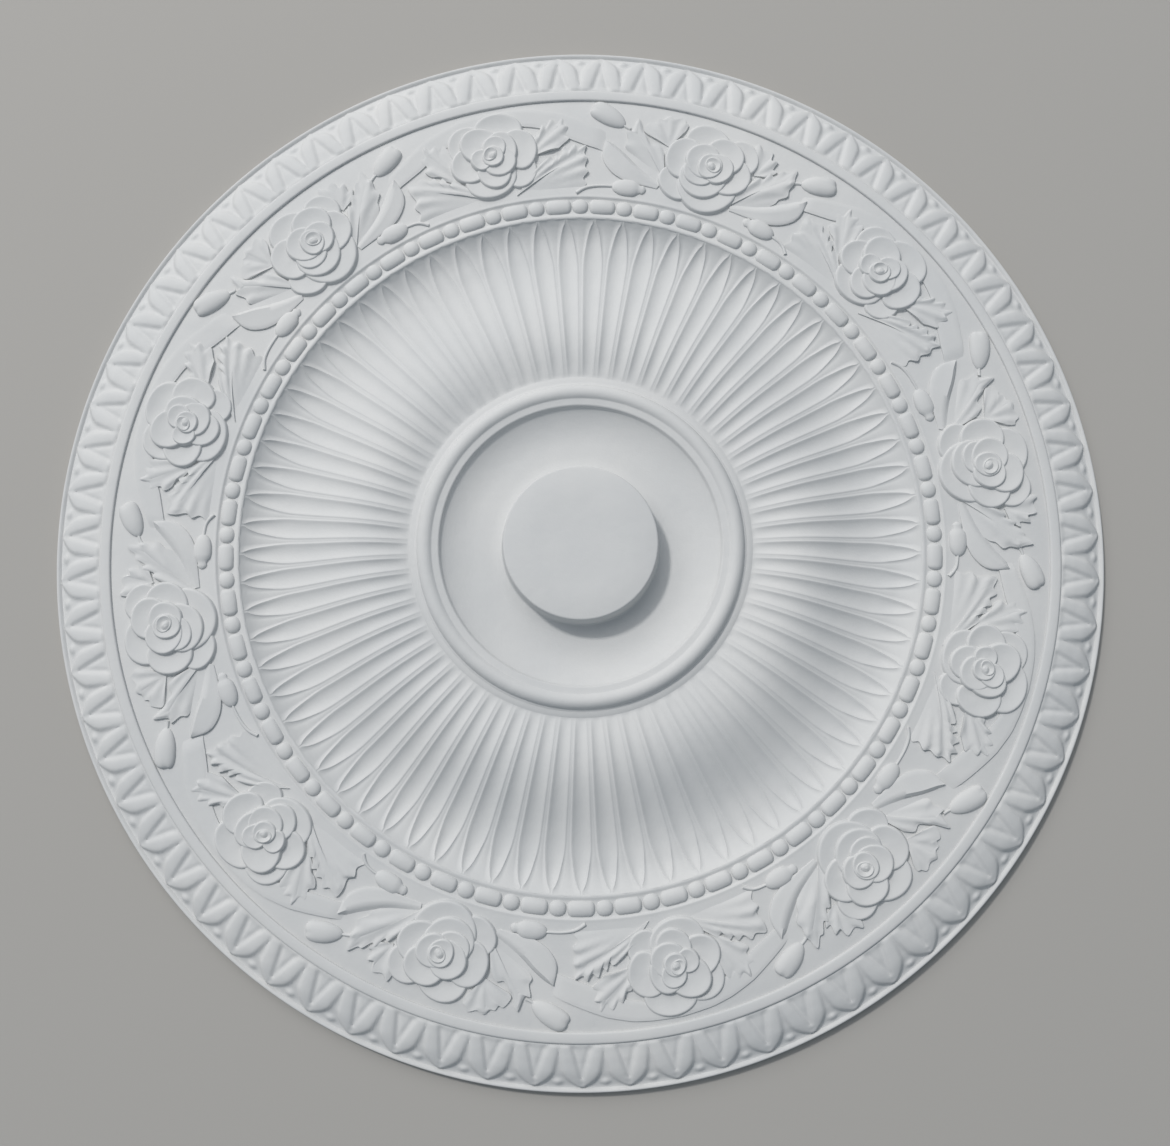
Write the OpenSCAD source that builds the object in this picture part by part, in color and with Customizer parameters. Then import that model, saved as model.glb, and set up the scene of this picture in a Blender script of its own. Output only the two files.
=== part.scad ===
// Cast plaster ceiling rose: one round casting with a plain boss for a lamp, a fluted dome,
// a bead-and-reel ring, a frieze of twelve roses and a leaf border. The flat back lies on z = 0
// and the decorated face looks along +Z.

/* [Overall] */
// Outer diameter of the casting
rose_d = 900; // [760:1:1100]
// Thickness of the plain outer flange
flange_t = 10; // [6:0.5:16]
// Radial width of the plain outer flange
flange_w = 9; // [5:0.5:14]

/* [Boss and bowl] */
// Diameter of the flat boss that a lamp canopy covers
boss_d = 130; // [100:1:136]
// Height of the boss above the back
boss_h = 37; // [32:0.5:48]
// Taper of the boss side, measured along the radius
boss_draft = 2.5; // [0.5:0.5:5]
// Height of the floor of the bowl above the back
bowl_floor_h = 14; // [8:0.5:18]
// Diameter where the floor of the bowl starts to rise
bowl_floor_d = 176; // [150:1:190]
// Steepness of the bowl at its rim, in degrees
bowl_slope = 33; // [20:1:40]
// Diameter of the round ring at the rim of the bowl
ring_d = 264; // [256:1:272]
// Radius of the round ring's section
ring_r = 7; // [5:0.5:8]
// Height of the top of the round ring above the back
ring_h = 30; // [27:0.5:34]

/* [Fluted dome] */
// Number of flutes
flutes = 73; // [48:1:80]
// Inner diameter of the fluted dome
dome_in_d = 298; // [290:1:310]
// Diameter of the highest circle of the dome
dome_top_d = 356; // [340:1:380]
// Diameter of the lowest circle, where the dome turns up into the cove
dome_foot_d = 524; // [500:1:540]
// Outer diameter of the cove, where the flutes end
dome_out_d = 584; // [570:1:588]
// Height of the dome's inner edge above the back
dome_in_h = 23; // [20:0.5:28]
// Height of the highest circle of the dome
dome_top_h = 28.5; // [24:0.5:32]
// Height of the lowest circle of the dome
dome_foot_h = 9; // [6:0.5:14]
// Depth of a flute below the ribs
flute_depth = 2.6; // [1:0.2:4]
// Share of the pitch that a flute takes, the rest being the rib
flute_share = 0.74; // [0.5:0.02:0.86]
// Length of the arched outer end of a flute
flute_arch = 24; // [14:1:30]

/* [Bead ring] */
// Number of bead pairs, each one long bead and one round bead
bead_pairs = 49; // [30:1:52]
// Diameter of the circle that the beads lie on
bead_ring_d = 604; // [600:1:608]
// Width of a bead, round or long
bead_w = 14; // [10:0.5:16]
// Gap between neighbouring beads
bead_gap = 0.8; // [0.4:0.1:3]
// Height of the top of the beads above the frieze
bead_rise = 2.6; // [1.5:0.1:4]

/* [Frieze] */
// Height of the flat frieze above the back
frieze_h = 19; // [16:0.5:24]
// Outer diameter of the flat frieze
frieze_d = 800; // [780:1:806]
// Width of the plain fillet around the frieze
fillet_w = 10; // [6:0.5:12]
// Height of the fillet above the frieze
fillet_rise = 1.8; // [1:0.1:3]
// Number of mirror-image sprays around the frieze, with two roses each
sprays = 6; // [4:1:6]
// Diameter of the circle that the roses lie on
rose_ring_d = 716; // [700:1:730]
// Diameter of one carved rose
blossom_d = 76; // [60:1:80]
// Height of a carved rose above the frieze
blossom_h = 9.5; // [6:0.5:12]
// Height of the leaves above the frieze
leaf_h = 2.8; // [1.5:0.1:4]
// Height of the ribbon behind the leaves above the frieze
ribbon_h = 1.2; // [0.8:0.1:2.5]
// Width of the ribbon
ribbon_w = 14; // [8:0.5:16]
// Length of an oval bud
bud_len = 25; // [18:0.5:30]
// Width of an oval bud
bud_w = 14; // [10:0.5:16]

/* [Leaf border] */
// Number of leaves around the border
border_leaves = 71; // [50:1:74]
// Length of a border leaf along the slope
border_leaf_len = 27; // [20:0.5:30]
// Width of a border leaf
border_leaf_w = 34; // [26:0.5:36]
// Height of a border leaf above the slope
border_leaf_h = 1.8; // [1:0.1:3]
// Height of the inner leaf above the outer one
inner_leaf_h = 0.8; // [0.4:0.1:1.5]

/* [Hidden] */
$fn = 96;

// Radii of the turned circles
rose_r = rose_d / 2;
boss_r = boss_d / 2;
bowl_r = bowl_floor_d / 2;
dome_in_r = dome_in_d / 2;
dome_top_r = dome_top_d / 2;
dome_foot_r = dome_foot_d / 2;
dome_out_r = dome_out_d / 2;
frieze_r = frieze_d / 2;
rose_ring_r = rose_ring_d / 2;
bead_ring_r = bead_ring_d / 2;
// Edges of the leaf border, which slopes from the fillet down to the flange
border_in_r = frieze_r + fillet_w;
border_out_r = rose_r - flange_w;
border_slope = atan2(frieze_h - flange_t, border_out_r - border_in_r);
// Flat lip between the bowl and the round ring
lip_w = 4;
// How far the carved parts reach down into the turned body
root = 2;

// Points of an arc in a section, from one angle to another
function arc(centre, r, a0, a1, steps) =
    [for (i = [0:steps]) let (a = a0 + (a1 - a0) * i / steps) centre + r * [cos(a), sin(a)]];

// Smooth step from 0 to 1
function ease(t) = (1 - cos(180 * min(1, max(0, t)))) / 2;

// Height of the ribs of the fluted dome at radius r: up to the dome's top, down to its foot,
// then up the cove as a quarter wave
function dome_z(r) =
    r < dome_top_r
        ? dome_in_h + (dome_top_h - dome_in_h)
            * sin(90 * (r - dome_in_r) / (dome_top_r - dome_in_r))
        : r < dome_foot_r
            ? dome_top_h - (dome_top_h - dome_foot_h)
                * ease((r - dome_top_r) / (dome_foot_r - dome_top_r))
            : dome_foot_h + (frieze_h - dome_foot_h)
                * (1 - cos(90 * (r - dome_foot_r) / (dome_out_r - dome_foot_r)));

// Half the share of the pitch that the flute takes at radius r; the outer end closes as an arch
function flute_half(r) =
    let (t = max(0, (r - (dome_out_r - flute_arch)) / flute_arch))
    flute_share / 2 * sqrt(max(0, 1 - t * t)) + 0.02;

// Bowl: a flat floor and an arc that is level at the floor and steepens to the rim
lip_out_r = ring_d / 2 - ring_r;
bowl_out_r = lip_out_r - lip_w;
bowl_arc_r = (bowl_out_r - bowl_r) / sin(bowl_slope);
ring_centre = [ring_d / 2, ring_h - ring_r];

module turned_section() {
    polygon(concat(
        [[0, 0], [0, boss_h], [boss_r, boss_h], [boss_r + boss_draft, bowl_floor_h]],
        arc([bowl_r, bowl_floor_h + bowl_arc_r], bowl_arc_r, -90, -90 + bowl_slope, 6),
        [[bowl_out_r + 1, ring_h - 3], [lip_out_r, ring_h - 3]],
        arc(ring_centre, ring_r, 165, 20, 8),
        [[dome_in_r, dome_in_h], [dome_in_r, dome_foot_h / 2], [dome_out_r, dome_foot_h / 2],
         [dome_out_r, frieze_h], [frieze_r, frieze_h],
         [frieze_r + 1, frieze_h + fillet_rise], [border_in_r - 1, frieze_h + fillet_rise],
         [border_in_r, frieze_h], [border_out_r, flange_t],
         [rose_r - 1.5, flange_t], [rose_r, flange_t - 1.5], [rose_r, 0]]
    ));
}

module turned_body() {
    rotate_extrude() turned_section();
}

// The fluted dome as one skin: each flute has two edges and a bottom, on rings along the dome
flute_rings = [for (t = [0.01, 0.2, 0.4, 0.6, 0.8, 0.92, 0.99])
    dome_in_r + (dome_out_r - dome_in_r) * t];
columns = 3 * flutes;

function flute_angle(c, r) =
    (floor(c / 3) + (c % 3 - 1) * flute_half(r)) * 360 / flutes;

function flute_depth_at(c, r) =
    c % 3 == 1 ? flute_depth * min(1, flute_half(r) * 2 / flute_share) : 0;

function flute_ring(r) =
    [for (c = [0:columns - 1]) let (a = flute_angle(c, r))
        [r * cos(a), r * sin(a), dome_z(r) - flute_depth_at(c, r)]];

// A plain ring of the skin that lies inside the turned body
function buried_ring(r, z) =
    [for (c = [0:columns - 1]) let (a = c * 360 / columns) [r * cos(a), r * sin(a), z]];

module fluted_dome() {
    loops = len(flute_rings) + 4;
    polyhedron(
        points = concat(
            buried_ring(dome_in_r - lip_w, dome_in_h - root),
            [for (r = flute_rings) each flute_ring(r)],
            buried_ring(dome_out_r + lip_w, frieze_h - root),
            buried_ring(dome_out_r, dome_foot_h / 3), buried_ring(dome_in_r, dome_foot_h / 3)
        ),
        faces = [for (k = [0:loops - 1], c = [0:columns - 1])
            let (a = k * columns + c,
                 b = k * columns + (c + 1) % columns,
                 d = (k + 1) % loops * columns + c,
                 e = (k + 1) % loops * columns + (c + 1) % columns)
            each [[a, b, e], [a, e, d]]]
    );
}

// A solid along Z whose side is one round bulge, with blunt ends
module spindle(length, width, end_w) {
    sag = (width - end_w) / 2;
    bulge_r = (length * length / 4 + sag * sag) / (2 * sag);
    rotate_extrude() intersection() {
        translate([width / 2 - bulge_r, 0]) circle(bulge_r);
        translate([0, -length / 2]) square([width / 2, length]);
    }
}

module bead_ring() {
    pitch = 360 / bead_pairs;
    long_bead = PI * bead_ring_d / bead_pairs - bead_w - 2 * bead_gap;
    for (i = [0:bead_pairs - 1])
        rotate(i * pitch) translate([bead_ring_r, 0, frieze_h + bead_rise - bead_w / 2])
            rotate([90, 0, 0]) spindle(long_bead, bead_w, bead_w * 0.6);
    for (i = [0:bead_pairs - 1])
        rotate((i + 0.5) * pitch) translate([bead_ring_r, 0, frieze_h + bead_rise - bead_w / 2])
            rotate([90, 0, 0]) sphere(bead_w / 2);
}

// Outline of a leaf along +X: half-widths from a bulge, with teeth along both sides
function leaf_side(length, half_w, teeth, side) =
    [for (i = [0:2 * teeth]) let (t = i / (2 * teeth))
        [length * t + (i % 2 == 0 ? 0 : length * 0.05),
         side * half_w * sin(180 * pow(t, 1.25)) * (i % 2 == 0 ? 0.82 : 1.08)]];

function leaf_outline(length, half_w, teeth) =
    concat([[0, 0]], leaf_side(length, half_w, teeth, 1), [[length * 1.02, 0]],
        [for (i = [2 * teeth - 1:-1:1]) leaf_side(length, half_w, teeth, -1)[i]]);

// A serrated leaf with a raised midrib, between two places given as [angle, radius] on the face;
// share is its part of the full height, so that leaves which cross lie one on another
module leaf(base, tip, half_w, teeth, share) {
    from = base[1] * [sin(base[0]), cos(base[0])];
    to = tip[1] * [sin(tip[0]), cos(tip[0])];
    length = norm(to - from);
    turn = atan2(to[1] - from[1], to[0] - from[0]);
    translate([from[0], from[1], frieze_h - root]) rotate(turn) {
        linear_extrude(root + leaf_h * share) polygon(leaf_outline(length, half_w, teeth));
        translate([0, -0.9, 0]) cube([length * 0.86, 1.8, root + leaf_h * (share + 0.3)]);
    }
}

// A long smooth leaf, curved like a sickle
module sickle_leaf(base, tip, half_w) {
    from = base[1] * [sin(base[0]), cos(base[0])];
    to = tip[1] * [sin(tip[0]), cos(tip[0])];
    length = norm(to - from);
    turn = atan2(to[1] - from[1], to[0] - from[0]);
    side = tip[0] > base[0] ? -1 : 1;
    translate([from[0], from[1], frieze_h - root]) rotate(turn)
        linear_extrude(root + leaf_h * 1.15) polygon(concat(
            [for (i = [0:8]) [length * i / 8, -side * half_w * 0.25 * sin(180 * i / 8)]],
            [for (i = [7:-1:1]) [length * i / 8, side * half_w * sin(180 * pow(i / 8, 1.8))]]
        ));
}

module bud(place, lean) {
    translate([place[1] * sin(place[0]), place[1] * cos(place[0]), frieze_h])
        rotate(lean) rotate([0, 90, 0]) spindle(bud_len, bud_w, bud_w * 0.3);
}

// One rose: three whorls of overlapping petals, each petal a little higher than the last,
// around a round heart
module blossom(place, turn) {
    size = blossom_d / 2;
    translate([place[1] * sin(place[0]), place[1] * cos(place[0]), frieze_h - root]) rotate(turn) {
        for (i = [0:4]) rotate(72 * i) translate([size * 0.55, 0, 0])
            cylinder(h = root + blossom_h * (0.36 + 0.03 * i), r = size * 0.45);
        for (i = [0:4]) rotate(72 * i + 36) translate([size * 0.3, 0, 0])
            cylinder(h = root + blossom_h * (0.58 + 0.03 * i), r = size * 0.32);
        for (i = [0:2]) rotate(120 * i + 20) translate([size * 0.12, 0, 0])
            cylinder(h = root + blossom_h * (0.8 + 0.03 * i), r = size * 0.17);
        translate([0, 0, root + blossom_h - size * 0.1]) rotate([90, 0, 0]) sphere(size * 0.1);
    }
}

// The flat ribbon arches over the first rose of a spray and dips between the roses
module ribbon() {
    half_span = 360 / sprays / 4;
    end_r = rose_ring_r + 3.5;
    crown_r = frieze_r - 6 - ribbon_w / 2;
    half_chord = end_r * sin(half_span);
    rise = crown_r - end_r * cos(half_span);
    bend_r = (half_chord * half_chord + rise * rise) / (2 * rise);
    half_turn = asin(half_chord / bend_r);
    translate([0, crown_r - bend_r, frieze_h - root])
        rotate_extrude(angle = 2 * half_turn, start = 90 - half_turn)
            translate([bend_r - ribbon_w / 2, 0]) square([ribbon_w, ribbon_h + root]);
}

// Half of a spray's foliage, on the side given by the sign: leaves by the rose under the
// ribbon, and the leaves and buds of the next rose
module foliage(side) {
    next = 180 / sprays;
    leaf([side * 3, rose_ring_r - 4], [side * 9.6, rose_ring_r + 23], 11, 3, 1);
    leaf([side * 2, rose_ring_r - 34], [side * 12.8, rose_ring_r - 3], 12, 4, 0.9);
    leaf([side * (next - 3.5), rose_ring_r + 4], [side * (next - 7.5), rose_ring_r + 32], 9, 3, 0.8);
    leaf([side * (next - 3.5), rose_ring_r - 14], [side * (next - 11), rose_ring_r + 24], 9, 3, 0.95);
    sickle_leaf([side * (next - 4), rose_ring_r - 28], [side * 14.9, rose_ring_r + 9], 13);
    bud([side * (next - 14.6), rose_ring_r + 25], side * -20);
    bud([side * (next - 10.2), rose_ring_r - 36], side * -4);
}

module spray() {
    ribbon();
    foliage(-1);
    foliage(1);
    blossom([0, rose_ring_r], 40);
    blossom([180 / sprays, rose_ring_r], 12);
}

module frieze() {
    for (i = [0:sprays - 1]) rotate(i * 360 / sprays + 12) spray();
}

// Outline of a border leaf: straight at its root, coming to a rounded point
function border_outline(length, width, steps) =
    [for (i = [-steps:steps]) let (a = 90 * i / steps)
        [length * pow(max(0, cos(a)), 0.8), width / 2 * sin(a)]];

module border_leaf() {
    translate([border_in_r, 0, frieze_h]) rotate([0, border_slope, 0]) translate([3, 0, -root]) {
        linear_extrude(root + border_leaf_h)
            polygon(border_outline(border_leaf_len, border_leaf_w, 3));
        linear_extrude(root + border_leaf_h + inner_leaf_h)
            polygon(border_outline(border_leaf_len * 0.7, border_leaf_w * 0.5, 2));
    }
}

module leaf_border() {
    for (i = [0:border_leaves - 1]) rotate(i * 360 / border_leaves) border_leaf();
}

module ceiling_rose() {
    color("whitesmoke") {
        turned_body();
        fluted_dome();
        bead_ring();
        frieze();
        leaf_border();
    }
}

ceiling_rose();
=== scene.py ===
import math

import bmesh
import bpy
from mathutils import Matrix, Vector, noise


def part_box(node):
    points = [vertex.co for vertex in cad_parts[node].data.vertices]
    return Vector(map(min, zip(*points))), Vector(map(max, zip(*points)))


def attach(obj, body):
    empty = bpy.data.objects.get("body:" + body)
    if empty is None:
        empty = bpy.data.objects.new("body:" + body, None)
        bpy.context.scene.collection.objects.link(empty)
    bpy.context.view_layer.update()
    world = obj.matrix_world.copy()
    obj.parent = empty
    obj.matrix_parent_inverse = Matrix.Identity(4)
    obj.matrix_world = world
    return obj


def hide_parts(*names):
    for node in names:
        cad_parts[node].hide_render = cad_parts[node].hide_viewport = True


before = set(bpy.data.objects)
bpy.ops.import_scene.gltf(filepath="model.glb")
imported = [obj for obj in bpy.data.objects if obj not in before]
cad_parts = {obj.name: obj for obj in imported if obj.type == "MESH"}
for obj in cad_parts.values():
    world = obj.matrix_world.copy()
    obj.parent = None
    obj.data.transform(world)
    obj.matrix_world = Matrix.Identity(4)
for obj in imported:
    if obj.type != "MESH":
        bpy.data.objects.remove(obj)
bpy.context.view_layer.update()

# The turned ground of the ceiling rose
# The plain part of the casting: boss, bowl, round ring, bead channel, frieze, fillet and flange.
# White plaster, as if swept with a running mould; the flat back goes against the ceiling.
rose_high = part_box("ceiling_rose")[1]
rose_radius = rose_high[0]
mm = rose_radius / 450
boss_top = rose_high[2]

boss_and_bowl = [
    (0, 37), (40, 37), (63.6, 37), (64.6, 36.7), (65.1, 36), (66.2, 25), (67.3, 15.2),
    (67.8, 14.4), (69, 14), (78, 14), (88, 14),
]
bowl_floor, bowl_floor_radius, bowl_curve = 14, 88, 57
bowl_sweep = [
    (bowl_floor_radius + bowl_curve * math.sin(math.radians(a)),
     bowl_floor + bowl_curve * (1 - math.cos(math.radians(a))))
    for a in range(4, 34, 4)
]
bowl_lip = [(118.9, 23.4), (119.8, 25.9), (120.4, 26.7), (121.4, 27), (125.6, 27), (126.4, 27.3)]
ring_radius, ring_height, ring_round = 132, 23, 7
round_ring = [
    (ring_radius + ring_round * math.cos(math.radians(a)),
     ring_height + ring_round * math.sin(math.radians(a)))
    for a in range(138, 8, -10)
]
ring_foot = [(139.2, 24), (140.1, 23.8), (140.6, 23.3), (141.4, 23.1), (146, 23), (148, 21)]
dome_bed = [(152, 18), (178, 21), (200, 18), (230, 10), (250, 4), (262, 3), (280, 6), (289, 12)]
bead_channel = [
    (290.5, 18), (291.2, 18.6), (292.6, 18.8), (293.8, 18.4), (294.8, 17.9), (296, 17.6),
    (301.8, 17.5), (307.6, 17.6), (308.8, 17.9), (309.6, 18.7), (310.3, 19.3), (311, 19.4),
    (312, 19.2), (313.4, 19),
]
frieze_and_fillet = [
    (340, 19), (370, 19), (398.6, 19), (399.3, 18.8), (399.5, 20.6), (400, 21.1), (401, 21.3),
    (406.6, 21.2), (407.8, 20.9), (408.4, 20.3), (408.6, 18.6), (409.6, 18.4),
]
border_bed = [(412, 15.5), (424, 13.5), (436, 9.5), (445, 6)]
flange = [(447, 8.6), (448.4, 9), (449.2, 8.8), (449.6, 8.2), (449.8, 7.4), (449.8, 1.2),
          (449.5, 0.4), (449, 0), (300, 0), (0, 0)]
turned_outline = (
    boss_and_bowl + bowl_sweep + bowl_lip + round_ring + ring_foot + dome_bed + bead_channel
    + frieze_and_fillet + border_bed + flange
)


def sweep(outline, steps, angle, start=0.0):
    """Sweeps a section, given in millimetres, part of the way round the middle of the casting."""
    bm = bmesh.new()
    turn = Matrix.Rotation(start, 3, "Z")
    points = [bm.verts.new(turn @ Vector((r * mm, 0, z * mm))) for r, z in outline]
    edges = [bm.edges.new(pair) for pair in zip(points, points[1:])]
    bmesh.ops.spin(bm, geom=points + edges, cent=(0, 0, 0), axis=(0, 0, 1), steps=steps, angle=angle)
    return bm


def repeat_round(bm, count):
    """Repeats a shape round the middle and joins the copies where they meet."""
    one = bpy.data.meshes.new("one_part")
    bm.to_mesh(one)
    for i in range(1, count):
        before = set(bm.verts)
        bm.from_mesh(one)
        bmesh.ops.rotate(bm, verts=[v for v in bm.verts if v not in before], cent=(0, 0, 0),
                         matrix=Matrix.Rotation(i * 2 * math.pi / count, 3, "Z"))
    bmesh.ops.remove_doubles(bm, verts=bm.verts, dist=0.001 * mm)
    bpy.data.meshes.remove(one)


def cast_unevenness(bm, amount):
    """Moves the shaped face up and down a very little, as hand-finished plaster does."""
    for v in bm.verts:
        if v.co.z > 2 * mm and v.co.xy.length < rose_radius - 2 * mm:
            v.co.z += amount * mm * (noise.noise(v.co / (28 * mm)) - 0.4)
            v.co.z += 0.4 * amount * mm * (noise.noise(v.co / (7 * mm)) - 0.4)
            v.co.z = min(v.co.z, boss_top)


def white_plaster():
    """Matt white plaster: cloudy tone, a fine grain and the slight waviness of a casting."""
    made = bpy.data.materials.new("white_plaster")
    made.use_nodes = True
    nodes, links = made.node_tree.nodes, made.node_tree.links
    shader = nodes["Principled BSDF"]
    place = nodes.new("ShaderNodeTexCoord")

    def cloud(scale, detail, roughness):
        made_cloud = nodes.new("ShaderNodeTexNoise")
        made_cloud.inputs["Scale"].default_value = scale
        made_cloud.inputs["Detail"].default_value = detail
        made_cloud.inputs["Roughness"].default_value = roughness
        links.new(place.outputs["Object"], made_cloud.inputs["Vector"])
        return made_cloud

    tone = nodes.new("ShaderNodeValToRGB")
    tone.color_ramp.elements[0].position = 0.3
    tone.color_ramp.elements[0].color = (0.585, 0.597, 0.600, 1)
    tone.color_ramp.elements[1].position = 0.72
    tone.color_ramp.elements[1].color = (0.640, 0.645, 0.640, 1)
    links.new(cloud(9, 6, 0.62).outputs["Fac"], tone.inputs["Fac"])
    links.new(tone.outputs["Color"], shader.inputs["Base Color"])
    matt = nodes.new("ShaderNodeMapRange")
    matt.inputs["To Min"].default_value = 0.62
    matt.inputs["To Max"].default_value = 0.86
    links.new(cloud(55, 4, 0.6).outputs["Fac"], matt.inputs["Value"])
    links.new(matt.outputs["Result"], shader.inputs["Roughness"])
    shader.inputs["Specular IOR Level"].default_value = 0.3
    grain = nodes.new("ShaderNodeBump")
    grain.inputs["Strength"].default_value = 0.35
    grain.inputs["Distance"].default_value = 0.0002
    links.new(cloud(620, 3, 0.6).outputs["Fac"], grain.inputs["Height"])
    waves = nodes.new("ShaderNodeBump")
    waves.inputs["Strength"].default_value = 0.5
    waves.inputs["Distance"].default_value = 0.0006
    links.new(cloud(85, 3, 0.5).outputs["Fac"], waves.inputs["Height"])
    links.new(grain.outputs["Normal"], waves.inputs["Normal"])
    links.new(waves.outputs["Normal"], shader.inputs["Normal"])
    return made


plaster = white_plaster()


def cast_piece(bm, name):
    """Turns a finished shape into a plaster piece that stands for the cast rose."""
    bmesh.ops.recalc_face_normals(bm, faces=bm.faces)
    mesh = bpy.data.meshes.new(name)
    bm.to_mesh(mesh)
    bm.free()
    mesh.polygons.foreach_set("use_smooth", [True] * len(mesh.polygons))
    mesh.set_sharp_from_angle(angle=math.radians(50))
    mesh.materials.append(plaster)
    piece = bpy.data.objects.new(name, mesh)
    bpy.context.collection.objects.link(piece)
    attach(piece, "root")
    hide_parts("ceiling_rose")
    return piece


ground = sweep(turned_outline, 5, math.radians(5))
repeat_round(ground, 72)
cast_unevenness(ground, 0.16)
cast_piece(ground, "turned_ground")

# The fluted dome
# Seventy-three hollow flutes run from the round ring over the dome and down to an arched
# end in the cove below the beads. Thin raised edges line each flute, and a narrow dart
# stands between two arches. Cast in one with the ground.
flute_count = 73
flute_start = math.radians(3.8)
flute_pitch = 2 * math.pi / flute_count
columns_per_flute = 16


def between(table, value):
    """Reads a value off a table of pairs, in straight lines between them."""
    if value <= table[0][0]:
        return table[0][1]
    for (a, p), (b, q) in zip(table, table[1:]):
        if value <= b:
            return p + (q - p) * (value - a) / (b - a)
    return table[-1][1]


def eased(t):
    t = max(0.0, min(1.0, t))
    return t * t * (3 - 2 * t)


def dome_height(r):
    if r < 178:
        return 23 + 5.5 * math.sin(math.pi / 2 * max(0, r - 147) / 31)
    if r < 262:
        return 28.5 - 19.5 * (1 - math.cos(math.pi * (r - 178) / 84)) / 2
    return 9 + 9.2 * ((r - 262) / 29) ** 2.7


flute_half_width = [(146, 0.33), (165, 0.35), (200, 0.36), (250, 0.36), (258, 0.338), (264, 0.30),
                    (270, 0.258), (275, 0.222), (279, 0.185), (282.5, 0.14), (285.5, 0.09),
                    (287.3, 0.04), (288.5, 0.02)]
flute_depth = [(146, 0), (149, 0.6), (156, 1.3), (175, 1.8), (268, 1.9), (275, 1.8), (280, 1.4),
               (284, 0.9), (287, 0.35), (288.5, 0)]
dart_rise = [(240, 0), (252, 0.1), (264, 0.4), (284, 0.6), (290, 0.3)]
recess_depth = [(150, 0.1), (245, 0.2), (262, 0.45), (272, 0.75), (286, 0.9), (290, 0.4), (291.5, 0)]
edge_rise = [(148, 0), (160, 0.15), (200, 0.25), (285, 0.35), (290, 0.2), (291.5, 0)]
dome_rows = ([146, 147, 148.5, 150.5, 153, 156, 160, 165] + list(range(171, 250, 5))
             + [250, 253.5, 257, 260, 263, 266, 268.5, 271, 273.5, 276, 278, 280, 282, 283.5, 285,
                286.3, 287.4, 288.4, 289.4, 290.4, 291.5])
dome_outline = ([(r, dome_height(r)) for r in dome_rows]
                + [(291, 12), (262, 1.5), (230, 6), (178, 17), (149, 17), (146, 20)])


def flute_columns(r):
    """Where the columns stand across the pitch, from the middle of a flute to the next dart."""
    w = between(flute_half_width, r)
    thin = 0.6 / (2 * math.pi * r / flute_count)
    inner = min(w + 2.2 * thin, w + (0.5 - w) * 0.55)
    return [0, 0.3 * w, 0.58 * w, 0.82 * w, w, w + (inner - w) * 0.45, inner, (inner + 0.5) / 2, 0.5]


def flute_levels(r):
    """Heights of those columns above or below the plain dome."""
    w, d = between(flute_half_width, r), between(flute_depth, r)
    edge, recess, dart = between(edge_rise, r), between(recess_depth, r), between(dart_rise, r)
    hollow = [-d * (1 - q * q) for q in (0, 0.3, 0.58, 0.82)]
    return hollow + [edge * 0.55, edge, -recess * 0.45, -recess, dart - recess * 0.3]


dome = sweep(dome_outline + dome_outline[:1], columns_per_flute, flute_pitch,
             flute_start - flute_pitch / 2)
for v in dome.verts:
    r = v.co.xy.length / mm
    if abs(v.co.z / mm - dome_height(r)) > 0.01 or r > 291.6:
        continue
    place = round((math.atan2(v.co.y, v.co.x) - flute_start) / flute_pitch * columns_per_flute)
    angle = flute_start + flute_pitch * math.copysign(flute_columns(r)[abs(place)], place)
    v.co = Vector((r * math.cos(angle), r * math.sin(angle),
                   v.co.z / mm + flute_levels(r)[abs(place)])) * mm
repeat_round(dome, flute_count)
cast_unevenness(dome, 0.12)
cast_piece(dome, "fluted_dome")

# The bead ring
# Forty-nine long beads and forty-nine round ones, set by turns in the channel between the
# dome and the frieze. Cast with the rest: a little over half of each bead's height lies below
# the floor of the channel.
bead_pairs = 49
bead_circle = 301.8 * mm
bead_middle = 16.6 * mm
round_bead_at = math.radians(1.95)
long_bead_at = math.radians(5.6)


def bead(bm, length, width, height, end, angle):
    """Adds a bead: a ball with its middle drawn out along the ring."""
    ball = bmesh.ops.create_uvsphere(bm, u_segments=14, v_segments=10, radius=1)["verts"]
    straight = length / 2 - end
    for v in ball:
        x, y, z = v.co.z, v.co.y, v.co.x
        side = 0 if abs(x) < 0.01 else math.copysign(1, x)
        full = (y * y + z * z) ** -0.12 if abs(x) < 0.99 else 1
        v.co = Vector((y * full * width / 2 * mm + bead_circle, (end * x + side * straight) * mm,
                       z * full * height / 2 * mm + bead_middle))
    bmesh.ops.rotate(bm, verts=ball, cent=(0, 0, 0), matrix=Matrix.Rotation(angle, 3, "Z"))


beads = bmesh.new()
bead(beads, 14.4, 14.0, 8.8, 7.2, round_bead_at)
bead(beads, 23.2, 14.0, 8.8, 5.4, long_bead_at)
repeat_round(beads, bead_pairs)
cast_piece(beads, "bead_ring")

# The leaf border
# Seventy-one broad leaves hang over the sloping rim, each with two rounded limbs that meet
# in a point, a hollow between them, and a small dart where two leaves part. Cast in one.
leaf_count = 71
leaf_start = math.radians(1.4)
columns_per_leaf = 24
rim_slope = [(408, 19.0), (410, 19.0), (412, 18.85), (420, 17.8), (428, 16.1), (432, 15.0),
             (436, 13.4), (440, 11.4), (442, 10.3), (444, 9.4), (446, 9.0), (450, 8.8)]
lobe_half_width = [(409, 19.5), (418, 18.4), (425, 17.7), (432, 16.6), (435, 15.2), (438, 13.0),
                   (440, 10.8), (442.6, 7.4), (444.5, 4.0), (445.8, 0.6), (446.6, -2)]
gap_depth = [(409, 0), (414, 0.5), (420, 1.3), (428, 2.2), (436, 2.5), (450, 2.3)]
hollow_half_width = [(409, 9.5), (416, 7), (425, 4.6), (432, 2.6), (437, 1), (439.5, -1.2)]
wedge_half_width = [(409, 5.5), (414, 4), (422, 2), (429, -0.5)]
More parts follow.
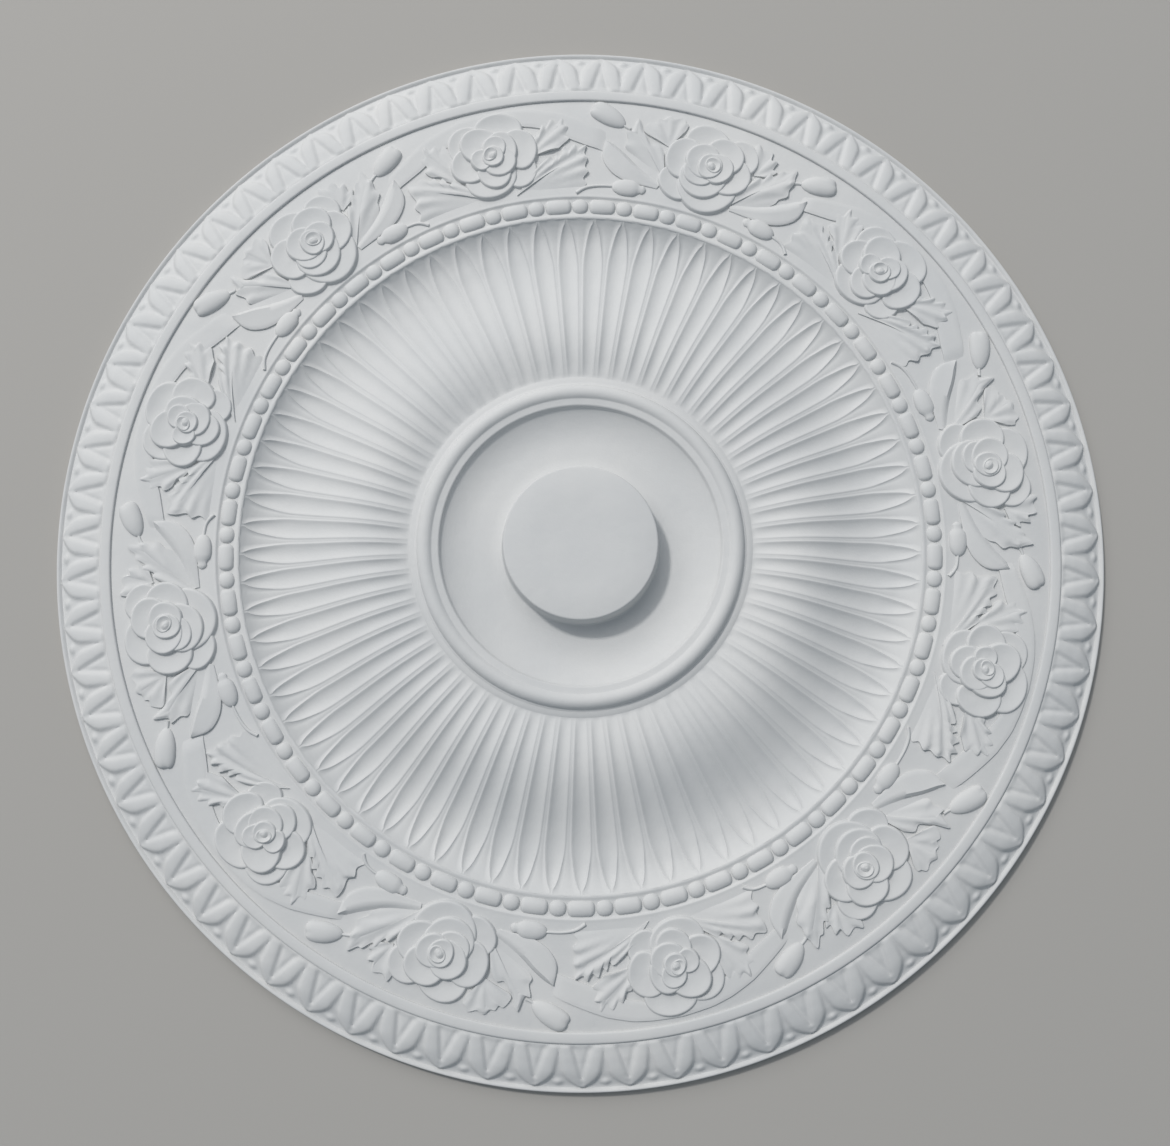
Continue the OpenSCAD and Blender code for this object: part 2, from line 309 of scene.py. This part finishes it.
border_rows = ([408.6, 409.6, 410.6, 412.2, 414, 416] + list(range(418, 436, 2))
               + [435.5, 437, 438.2, 439.4, 440.4, 441.4, 442.4, 443.3, 444.2, 445, 445.7, 446.4,
                  447.2, 448.2])
border_outline = ([(r, between(rim_slope, r)) for r in border_rows]
                  + [(447.6, 5), (440, 4), (424, 8), (412, 11), (409, 14)])


def leaf_relief(r, x):
    """Height of the carved leaf above the plain slope, x being the distance from its middle."""
    half_pitch = math.pi * r / leaf_count
    x = abs(x)
    lobe, gap = between(lobe_half_width, r), between(gap_depth, r)
    hollow, wedge = between(hollow_half_width, r), between(wedge_half_width, r)
    h = gap * (eased((lobe - x) / 2.4) - 1)
    across = (x - max(0, hollow)) / max(1, lobe - max(0, hollow))
    if 0 < across < 1:
        h += 0.8 * math.sin(math.pi * across)
    h -= 1.8 * eased((hollow - x + 1.4) / 2.8) * eased((r - 409) / 4)
    h += 0.8 * eased((wedge - x + 0.8) / 1.8) * eased((r - 409) / 4)
    dart = math.hypot((half_pitch - x) / 5.0, (r - 440.8) / 3.6)
    return h + 2.0 * eased(1.15 - dart) + 0.35


leaf_pitch = 2 * math.pi / leaf_count
border = sweep(border_outline + border_outline[:1], columns_per_leaf, leaf_pitch,
               leaf_start - leaf_pitch / 2)
for v in border.verts:
    r = v.co.xy.length / mm
    if abs(v.co.z / mm - between(rim_slope, r)) < 0.01:
        x = (math.atan2(v.co.y, v.co.x) - leaf_start) * r
        v.co.z += leaf_relief(r, x) * eased((r - 408.6) / 2.5) * mm
repeat_round(border, leaf_count)
cast_unevenness(border, 0.22)
cast_piece(border, "leaf_border")

# The first rose of each spray
# A full-blown rose of cupped petals in three whorls round a small domed heart, one in the
# middle of each of the six sprays. Each petal is a shallow cup with a soft rounded edge.
spray_angle = math.radians(102.1)
sprays = 6
strip_radius = 358
frieze_height = 19
# The carving is drawn leaning in by this much of its height
lean_in = 0.34


def along_frieze(x, y):
    """Where a place of the drawn strip falls: x runs clockwise round, y out from the centre."""
    angle = spray_angle - x / strip_radius
    return Vector((y * math.cos(angle), y * math.sin(angle)))


petal_section = [(0, -0.95), (0.2, -1), (0.36, -0.96), (0.5, -0.84), (0.6, -0.71), (0.7, -0.54),
                 (0.79, -0.36), (0.86, -0.21), (0.91, -0.1), (0.95, -0.04), (0.985, -0.1), (1.0, -1.1),
                 (1.0, -1.2), (1.0, -1.3), (1.0, -1.4), (0, -2)]
# How far past the edge, and how far below it, the rounded outside of a petal runs
petal_outside = {-1.1: (0.35, 0.6), -1.2: (0.8, 1.5), -1.3: (1.3, 2.8), -1.4: (2.1, 9)}
petal_gap = 0.25
petal_blank = bpy.data.meshes.new("petal_blank")
blank = bmesh.new()
rim_points = [blank.verts.new((r, 0, z)) for r, z in petal_section]
rim_edges = [blank.edges.new(pair) for pair in zip(rim_points, rim_points[1:])]
bmesh.ops.spin(blank, geom=rim_points + rim_edges, cent=(0, 0, 0), axis=(0, 0, 1), steps=36,
               angle=2 * math.pi, use_merge=True)
bmesh.ops.remove_doubles(blank, verts=blank.verts, dist=1e-5)
blank.to_mesh(petal_blank)
blank.free()


def petal_wave(a, seed):
    """How far the edge of a petal swings in and out on its way round."""
    return 1 + 0.022 * math.sin(2 * a + seed) + 0.02 * math.sin(3 * a + 1.7 * seed)


def petal_edge(place, x, y, reach, a):
    """Height of a petal's edge above the frieze; it rises away from the heart of the rose."""
    across, out, wide, deep, turn, rim, cup, seed = place
    outer = (x * across + y * out) / max(2, math.hypot(across, out)) / max(wide, deep)
    return rim + 0.18 * reach * math.sin(3 * a + seed) + 0.6 * outer


def petal_height(place, x, y):
    """Height of a petal's cupped face at a place in the rose, or None past its edge."""
    across, out, wide, deep, turn, rim, cup, seed = place
    turn, x, y = math.radians(turn), x - across, y - out + lean_in * rim
    u = (x * math.cos(turn) + y * math.sin(turn)) / wide
    v = (y * math.cos(turn) - x * math.sin(turn)) / deep
    a = math.atan2(v, u)
    reach = math.hypot(u, v) / petal_wave(a, seed)
    if reach > 0.97:
        return None
    return petal_edge(place, x, y, reach, a) + cup * between(petal_section[:11], reach)


def rose(bm, heart, petals):
    """Adds a rose on the strip; each petal lies over the ones listed before it."""
    for k, place in enumerate(petals):
        across, out, wide, deep, turn, rim, cup, seed = place
        before = set(bm.verts)
        bm.from_mesh(petal_blank)
        turn = math.radians(turn)
        for v in bm.verts:
            if v in before:
                continue
            reach, level = v.co.xy.length, round(v.co.z, 3)
            a = math.atan2(v.co.y, v.co.x)
            past, below = petal_outside.get(level, (0, 0)) if reach > 0.99 else (0, 0)
            wave = petal_wave(a, seed)
            px = (reach * wave * wide + past) * math.cos(a) if reach else 0
            py = (reach * wave * deep + past) * math.sin(a) if reach else 0
            px, py = (px * math.cos(turn) - py * math.sin(turn),
                      px * math.sin(turn) + py * math.cos(turn))
            edge = petal_edge(place, px, py, reach, a)
            x, y = across + px, out + py - lean_in * rim
            if level < -1.05:
                h = max(edge - below, -1.0) if below else -1.0
            else:
                h = edge + cup * level
                for upper in petals[k + 1:]:
                    over = petal_height(upper, x, y)
                    if over is not None:
                        h = min(h, over - petal_gap)
            v.co = (heart[0] + x, heart[1] + y, h)


def onto_casting(bm):
    """Bends the strip round the frieze and repeats it for every spray."""
    for v in bm.verts:
        spot = along_frieze(v.co.x, v.co.y)
        v.co = Vector((spot.x, spot.y, frieze_height + v.co.z)) * mm
    repeat_round(bm, sprays)


# Each petal: across and out from the heart of the rose, half its width and depth, turn,
# height of its edge, depth of its cup, and a seed for its waves
rose_a = bmesh.new()
rose_a_heart = (-3.5, 356.5)
first_rose = [
    (22.5, -17.5, 15, 15, 0, 2.6, 1.0, 5),
    (-17.5, 13.5, 18, 18, 0, 2.9, 1.5, 1),
    (-6, -18, 23.5, 20, 8, 3.1, 1.2, 2),
    (9, 21.5, 20, 16, -6, 3.5, 1.8, 3),
    (24.5, 2.5, 15, 17.8, 8, 4.1, 1.3, 4),
    (-21.5, -3.5, 16.5, 16, 0, 4.2, 1.9, 6),
    (-1, -14, 15, 15.5, 20, 4.7, 0.9, 7),
    (-9.5, 12, 15.5, 15.5, 0, 5.6, 1.5, 8),
    (7.5, 4, 14, 16, -20, 5.8, 1.2, 9),
    (5, -5.5, 14.5, 13.5, 25, 5.8, 1.0, 10),
    (-10.5, -1.5, 8.8, 9, 0, 6.4, 1.1, 11),
    (3, 7, 10, 9.5, 35, 6.6, 1.0, 12),
    (0.3, -0.4, 8.8, 9, 0, 7.3, 1.2, 13),
    (-1.7, 1.9, 6.2, 5.2, 40, 7.7, 1.6, 14),
    (0.1, 0.3, 3.4, 3.0, 40, 7.0, -1.1, 15),
]
rose(rose_a, rose_a_heart, first_rose)
onto_casting(rose_a)
cast_piece(rose_a, "first_roses")

# The second rose of each spray
# Like the first but rounder, with its outer petals laid the other way. It fills the place
# between two sprays, where the ribbon dips.
rose_b_heart = (-181.9, 357)
second_rose = [
    (-8.5, 18, 19, 18, 0, 2.7, 1.4, 1),
    (21.5, 16, 15.5, 15.5, 0, 2.9, 1.1, 2),
    (-24.5, -21, 18, 16, 0, 2.6, 1.1, 3),
    (2.5, -19, 28, 22.5, 6, 3.1, 1.2, 4),
    (-23.5, 1, 17.5, 18, 0, 3.9, 1.4, 5),
    (19.5, -3, 18, 16.5, 30, 4.2, 1.4, 6),
    (-3.5, -12, 21, 18, 8, 4.6, 1.0, 7),
    (8.5, 12, 16, 16.5, 0, 5.3, 1.4, 8),
    (-8.5, -7, 14, 13, 0, 5.3, 0.9, 9),
    (-7.5, 3, 15, 15, 0, 5.8, 1.4, 10),
    (6.5, 0, 13.5, 13, -10, 6.2, 1.1, 11),
    (-0.5, 0, 10.2, 11, 0, 6.9, 1.1, 12),
    (1.8, 1.7, 7.0, 6.0, -40, 7.4, 1.6, 13),
    (0.3, 0.3, 3.7, 3.2, -40, 6.9, -1.2, 14),
]
rose_b = bmesh.new()
rose(rose_b, rose_b_heart, second_rose)
onto_casting(rose_b)
cast_piece(rose_b, "second_roses")

# The ribbon
# A flat raised band that arches over the first rose and dips behind the leaves of the
# second. It is the lowest carving of the frieze.
ribbon_end = 98
ribbon_top = [(-98, 367), (-94, 369), (-76, 377.2), (-59, 385), (-40, 391), (-24, 394), (0, 395.7),
              (22, 394.8), (36, 393.5), (56, 388.5), (75, 381), (92, 374), (98, 371)]
ribbon_foot = [(-98, 353.5), (-91, 356), (-78, 359.5), (-67, 363), (-52, 370), (-38, 375.5),
               (-20, 380), (0, 381.8), (20, 380.5), (36, 377), (52, 372), (66, 364), (80, 358.5),
               (92, 355), (98, 353)]


def strip(bm, length_steps, across_steps, shape, foot=-1.0):
    """Adds a closed carved strip; shape gives each grid point its place and height."""
    under = bmesh.ops.create_grid(bm, x_segments=length_steps, y_segments=across_steps,
                                  size=0.5)["verts"]
    faces = list({f for v in under for f in v.link_faces})
    top = bmesh.ops.extrude_face_region(bm, geom=faces, use_keep_orig=True)["geom"]
    raised = {v for v in top if isinstance(v, bmesh.types.BMVert)}
    for v in under + list(raised):
        s = round((v.co.x + 0.5) * length_steps) / length_steps
        t = round((v.co.y + 0.5) * across_steps) / across_steps
        x, y, h = shape(s, t)
        v.co = (x, y, h if v in raised else foot)


def ribbon_shape(s, t):
    x = ribbon_end * (2 * s - 1)
    low, high = between(ribbon_foot, x), between(ribbon_top, x)
    h = (1.6 if 0.04 < t < 0.96 else 1.2) * eased((ribbon_end - abs(x)) / 9)
    return x, low + (high - low) * t - lean_in * 1.2, h - 0.3 * (abs(x) > ribbon_end - 1)


ribbons = bmesh.new()
strip(ribbons, 46, 8, ribbon_shape)
onto_casting(ribbons)
cast_piece(ribbons, "ribbons")

# The leaves and buds of the sprays
# Serrated leaves fold out like fans from under the roses, and a long smooth leaf curves up to
# each end of the ribbon. Buds on short stems fill the gaps. All are cast with the frieze.
leaves = bmesh.new()


def trace(points, s):
    """A point at part s of the way along a smooth line through the given points."""
    at = s * (len(points) - 1)
    k = min(len(points) - 2, int(at))
    f = at - k
    a, b = points[max(0, k - 1)], points[k]
    c, d = points[k + 1], points[min(len(points) - 1, k + 2)]
    return [0.5 * (2 * q + (r - p) * f + (2 * p - 5 * q + 4 * r - w) * f * f
                   + (3 * q - p - 3 * r + w) * f ** 3) for p, q, r, w in zip(a, b, c, d)]


def fan_leaf(bm, outline, height=2.8, folds=3, phase=0.0, fold=0.3, fade=(0, 0)):
    """Adds a serrated leaf whose ribs run from a spine to the edge. Its outline lists the foot
    of the leaf, then tips and notches by turns; a side with a fade of 1 runs out level."""
    start, edge = Vector(outline[0]), outline[1:]
    parts = len(edge) - 1
    middle = Vector((sum(x for x, y in edge), sum(y for x, y in edge))) / len(edge)
    spine = (middle - start).normalized()
    reach = max((Vector(place) - start).dot(spine) for place in edge)

    def swing(place):
        return math.atan2(spine.cross(place - start), (place - start).dot(spine))

    spread = max(swing(Vector(place)) for place in edge) - min(swing(Vector(place)) for place in edge)

    def shape(s, t):
        k = min(parts - 1, int(s * parts))
        f = s * parts - k
        rim = Vector(trace(edge, s))
        before, after = trace(edge, max(0, s - 1 / parts)), trace(edge, min(1, s + 1 / parts))
        smooth = (rim * 2 + Vector(before) + Vector(after)) / 4 - start
        ahead, aside = smooth.dot(spine), abs(smooth.cross(spine))
        root = start + spine * max(0, min(0.8 * reach, ahead - aside)) * eased(min(s, 1 - s) / 0.14)
        place = root + (rim - root) * (1.04 * t - 0.04)
        tooth = math.cos(math.pi * f) * (1 if k % 2 else -1)
        h = height * (0.45 + 0.55 * eased((place - start).length / reach / 0.45))
        h *= 0.95 - 0.25 * eased((t - 0.7) / 0.3) - 0.16 * (1 - t) ** 4
        h *= (1 + fold * math.cos(2 * math.pi * (folds * swing(place) / spread + phase))
              * eased((place - start).length / reach / 0.5) * eased((1.12 - t) / 0.4))
        h *= 1 + 0.16 * tooth * eased((t - 0.45) / 0.4)
        for side, distance in zip(fade, (s, 1 - s)):
            if side:
                h = -0.4 + (h + 0.4) * eased(distance / 0.16)
        return place.x, place.y - lean_in * height * 0.8, h

    strip(bm, parts * 4, 9, shape)


def curved_leaf(bm, foot, ridge, edge, height=3.4):
    """Adds a long smooth leaf with a raised back that falls to a stepped outer edge."""
    across = [(0, 0, 0), (0.5, 0, 0.42), (1, 0, 1), (1, 0.25, 0.86), (1, 0.5, 0.76),
              (1, 0.75, 0.68), (1, 0.93, 0.6), (1, 1, 0.44)]

    def shape(s, t):
        up, over, h = across[round(t * 7)]
        f, r, e = trace(foot, s), trace(ridge, s), trace(edge, s)
        x = f[0] + (r[0] - f[0]) * up + (e[0] - r[0]) * over
        y = f[1] + (r[1] - f[1]) * up + (e[1] - r[1]) * over
        body = height * (0.35 + 0.65 * eased(s / 0.5)) * (1 - 0.25 * eased((s - 0.85) / 0.15))
        return x, y - lean_in * 3, body * h - (0.3 if t == 0 else 0)

    strip(bm, 28, 7, shape)


def stem(bm, line, wide, high):
    """Adds a round stem that thins a little towards its end."""

    def shape(s, t):
        x, y = trace(line, s)
        nx, ny = trace(line, min(1, s + 0.02))
        px, py = trace(line, max(0, s - 0.02))
        length = math.hypot(nx - px, ny - py)
        side = wide / 2 * (1 - 0.35 * s) * math.cos(math.pi * t)
        return (x - (ny - py) / length * side, y + (nx - px) / length * side - lean_in * high,
                high * (1 - 0.3 * s) * math.sin(math.pi * t) - 0.1)

    strip(bm, 14, 6, shape)


def bud(bm, stalk, tip, wide, high, nub):
    """Adds an egg-shaped bud, half sunk in the frieze, with a split tip or a pinched end."""
    egg = bmesh.ops.create_uvsphere(bm, u_segments=22, v_segments=18, radius=1)["verts"]
    ax, ay = (tip[0] - stalk[0]) / 2, (tip[1] - stalk[1]) / 2
    half = math.hypot(ax, ay)
    for v in egg:
        t, q, h = v.co.z, v.co.x, v.co.y
        if nub:
            fat = 1 - 0.34 * math.exp(-((t - 0.6) / 0.13) ** 2) - 0.1 * t
        else:
            fat = max(0.03, 1 - t * t) ** (-0.24 * eased(t + 0.4)) * (0.94 + 0.16 * t)
            h -= 0.16 * eased(t + 0.4) * math.exp(-((q - 0.12) / 0.1) ** 2)
        side = q * fat * wide / 2
        v.co = ((stalk[0] + tip[0]) / 2 + ax * t - ay / half * side,
                (stalk[1] + tip[1]) / 2 + ay * t + ax / half * side - lean_in * high * 0.7,
                h * fat * high)


fan_leaf(
    leaves,
    [(-15, 318), (-90, 318), (-88, 320.5), (-84, 326.5), (-86.8, 333), (-82.8, 338), (-84.8, 347),
     (-83.4, 355), (-75, 352), (-69.7, 355.4), (-65, 349.5), (-59.5, 351.8), (-56.8, 346.5),
     (-52.5, 349), (-48.5, 341.5), (-43.5, 343.5), (-38, 338)],
    folds=4.2, phase=0.1, fold=0.26, fade=(1, 0))
fan_leaf(
    leaves,
    [(13, 318), (40, 344), (48, 348), (51, 345), (53.7, 351.8), (57.5, 349.5), (60.8, 356.8),
     (66, 354), (70, 359.5), (73.5, 355.5), (80.2, 358.2), (78.8, 351), (81.6, 346), (79.5, 339),
     (82.5, 334), (78, 328), (81, 323), (76, 318)],
    height=3.1, folds=4.5, phase=0.3, fold=0.3, fade=(0, 1))
fan_leaf(
    leaves,
    [(-38, 338), (-51, 346), (-54.5, 351), (-61, 354), (-64.8, 359.5), (-61.5, 363.5), (-64.4, 371),
     (-60.5, 373.5), (-58.4, 382), (-54, 377.5), (-49, 379.8), (-46.5, 374.5), (-41.8, 376.8),
     (-38, 368)],
    height=2.4, folds=2.5, phase=0.2, fold=0.25)
fan_leaf(
    leaves,
    [(28, 350), (33, 365), (35.2, 369), (39, 370.5), (42.6, 378), (46, 376.5), (50.8, 383),
     (55, 379), (60.2, 383.7), (61, 377), (64.5, 375.2), (62, 368), (65.6, 364.8), (59, 359),
     (56, 356)],
    height=2.9, folds=2.6, phase=0.25, fold=0.3)
fan_leaf(
    leaves,
    [(-143.4, 364), (-153.9, 379), (-151.1, 392.4), (-145.4, 388.5), (-137.8, 390.6), (-135.4, 383),
     (-130.5, 384.2), (-131.2, 376), (-127, 375.4), (-132.4, 367)],
    height=2.4, folds=2.4, phase=0.3, fold=0.28)
fan_leaf(
    leaves,
    [(-155.4, 328), (-144.4, 356), (-138.8, 363.7), (-135.4, 363), (-131.4, 372), (-127.9, 370.5),
     (-122.9, 378), (-119.2, 379), (-113.4, 385.8), (-111.4, 378), (-109.8, 373), (-110.8, 366),
     (-109.2, 359.8), (-114.4, 354), (-116.4, 348), (-125.4, 338)],
    height=3.1, folds=2.3, phase=0.2, fold=0.32, fade=(0, 1))
fan_leaf(
    leaves,
    [(-221.4, 365), (-242.4, 373), (-245.6, 376.8), (-240.9, 385.2), (-236.9, 384.5),
     (-234.9, 388.6), (-230.9, 388.8), (-227.2, 393.6), (-221.4, 391.4), (-215.2, 394.2),
     (-212.4, 390), (-209.9, 388.5), (-211.4, 382)],
    height=2.2, folds=3, phase=0.2, fold=0.28)
fan_leaf(
    leaves,
    [(-219.4, 334), (-255.4, 354), (-259.8, 359.5), (-257.9, 365), (-260.1, 374), (-255.4, 374.8),
     (-251.4, 386.8), (-246.4, 376.5), (-243.4, 372), (-237.9, 365), (-231.4, 366), (-225.4, 359)],
    height=2.8, folds=2.2, phase=0.1, fold=0.26, fade=(1, 0))
# The inner edge, the raised back and the outer edge of the two long leaves
curved_leaf(
    leaves,
    [(-152.9, 331.5), (-136.4, 337), (-122.4, 343.5), (-108.4, 354), (-98.4, 363), (-92.8, 365.8)],
    [(-151.9, 328), (-135.4, 332.5), (-120.4, 339), (-105.4, 349.5), (-95.4, 360.5), (-92.3, 365.3)],
    [(-151.4, 325.5), (-132.4, 326.5), (-114.4, 328.5), (-99.4, 336), (-90.9, 348), (-91.6, 364.5)])
curved_leaf(
    leaves,
    [(-223.4, 332), (-236.4, 338), (-248.4, 345), (-260.4, 354.5), (-270.4, 361.5), (-276.8, 364.6)],
    [(-223.4, 328.5), (-237.4, 333.5), (-250.4, 341.5), (-262.4, 351.5), (-271.9, 358.5),
     (-277.4, 364)],
    [(-225.4, 325.5), (-242.4, 326.5), (-258.4, 329), (-271.4, 336), (-279.4, 348), (-278, 363)])
# Buds and their stems: two near the fillet, and two with a pinched end near the beads
bud(leaves, (-104.4856, 376.6268), (-78.5636, 390.9836), 18.5, 5.0, False)
bud(leaves, (112.8604, 379.0196), (85.3432, 395.3704), 18.5, 5.0, False)
bud(leaves, (-101.2952, 321.9912), (-134.7944, 322.7888), 15.5, 4.2, True)
bud(leaves, (106.0808, 321.9912), (139.9788, 321.9912), 15.5, 4.2, True)
stem(leaves, [(-110.4676, 373.8352), (-107.676, 375.4304), (-102.8904, 377.4244)], 3.2, 1.8)
stem(leaves, [(117.646, 376.228), (114.8544, 377.4244), (111.2652, 379.4184)], 3.2, 1.8)
stem(leaves, [(-81.754, 314.414), (-87.736, 318.8008), (-93.718, 320.7948), (-102.8904, 321.5924)],
     3.4, 2)
stem(leaves, [(70.9864, 314.414), (79.76, 319.1996), (91.724, 321.393), (107.676, 321.9912)],
     3.4, 2)
onto_casting(leaves)
cast_piece(leaves, "spray_leaves")

# Floor, light and camera
# The rose lies on its back on a plain pale floor under soft light from the upper left. The
# pale backdrop is only seen, and adds no light to the rose.
floor_mesh = bpy.data.meshes.new("floor")
floor_shape = bmesh.new()
bmesh.ops.create_grid(floor_shape, x_segments=1, y_segments=1, size=rose_radius * 12)
bmesh.ops.translate(floor_shape, verts=floor_shape.verts, vec=(0, 0, -0.5 * mm))
floor_shape.to_mesh(floor_mesh)
floor_shape.free()
floor = bpy.data.objects.new("floor", floor_mesh)
bpy.context.collection.objects.link(floor)
floor_paint = bpy.data.materials.new("pale_floor")
floor_paint.use_nodes = True
floor_shader = floor_paint.node_tree.nodes["Principled BSDF"]
floor_shader.inputs["Base Color"].default_value = (0.40, 0.39, 0.37, 1)
floor_shader.inputs["Roughness"].default_value = 0.9
floor_mesh.materials.append(floor_paint)

world = bpy.data.worlds.new("soft_sky")
world.use_nodes = True
sky, sky_links = world.node_tree.nodes, world.node_tree.links
sky["Background"].inputs["Color"].default_value = (0.84, 0.97, 1.10, 1)
sky["Background"].inputs["Strength"].default_value = 0.26
backdrop = sky.new("ShaderNodeBackground")
backdrop.inputs["Color"].default_value = (0.62, 0.62, 0.60, 1)
seen = sky.new("ShaderNodeLightPath")
light_or_backdrop = sky.new("ShaderNodeMixShader")
glossy_too, glass_too = sky.new("ShaderNodeMath"), sky.new("ShaderNodeMath")
glossy_too.operation = glass_too.operation = "MAXIMUM"
sky_links.new(seen.outputs["Is Camera Ray"], glossy_too.inputs[0])
sky_links.new(seen.outputs["Is Glossy Ray"], glossy_too.inputs[1])
sky_links.new(glossy_too.outputs[0], glass_too.inputs[0])
sky_links.new(seen.outputs["Is Transmission Ray"], glass_too.inputs[1])
sky_links.new(glass_too.outputs[0], light_or_backdrop.inputs[0])
sky_links.new(sky["Background"].outputs[0], light_or_backdrop.inputs[1])
sky_links.new(backdrop.outputs[0], light_or_backdrop.inputs[2])
sky_links.new(light_or_backdrop.outputs[0], sky["World Output"].inputs["Surface"])
bpy.context.scene.world = world


def lamp(kind, energy, size, azimuth, elevation, colour, distance=0.0):
    """A lamp that points at the middle of the rose; size is its spread in degrees or its width."""
    data = bpy.data.lights.new(kind.lower() + "_lamp", kind)
    data.energy, data.color = energy, colour
    if kind == "SUN":
        data.angle = math.radians(size)
    else:
        data.size = size
    placed = bpy.data.objects.new(data.name, data)
    bpy.context.collection.objects.link(placed)
    azimuth, elevation = math.radians(azimuth), math.radians(elevation)
    source = Vector((math.cos(azimuth) * math.cos(elevation), math.sin(azimuth) * math.cos(elevation),
                     math.sin(elevation)))
    placed.location = source * distance
    placed.rotation_mode = "QUATERNION"
    placed.rotation_quaternion = source.to_track_quat("Z", "Y")


lamp("SUN", 1.46, 6, 130, 50, (1.0, 0.965, 0.935))
lamp("AREA", 50.5, rose_radius * 7, 118, 50, (1.0, 0.97, 0.955), rose_radius * 7)

camera_data = bpy.data.cameras.new("camera")
camera_data.sensor_width = 36
camera_data.lens = 37.744
camera_data.clip_start, camera_data.clip_end = 0.02, 50
camera = bpy.data.objects.new("camera", camera_data)
bpy.context.collection.objects.link(camera)
tilt = Matrix.Rotation(-0.120584, 4, "X") @ Matrix.Rotation(0.001309, 4, "Y")
shift = Matrix.Translation(Vector((-3.75, 21.23, -1062.79)) * mm)
camera.matrix_world = (shift @ tilt).inverted()
bpy.context.scene.camera = camera
bpy.context.scene.view_settings.view_transform = "Standard"
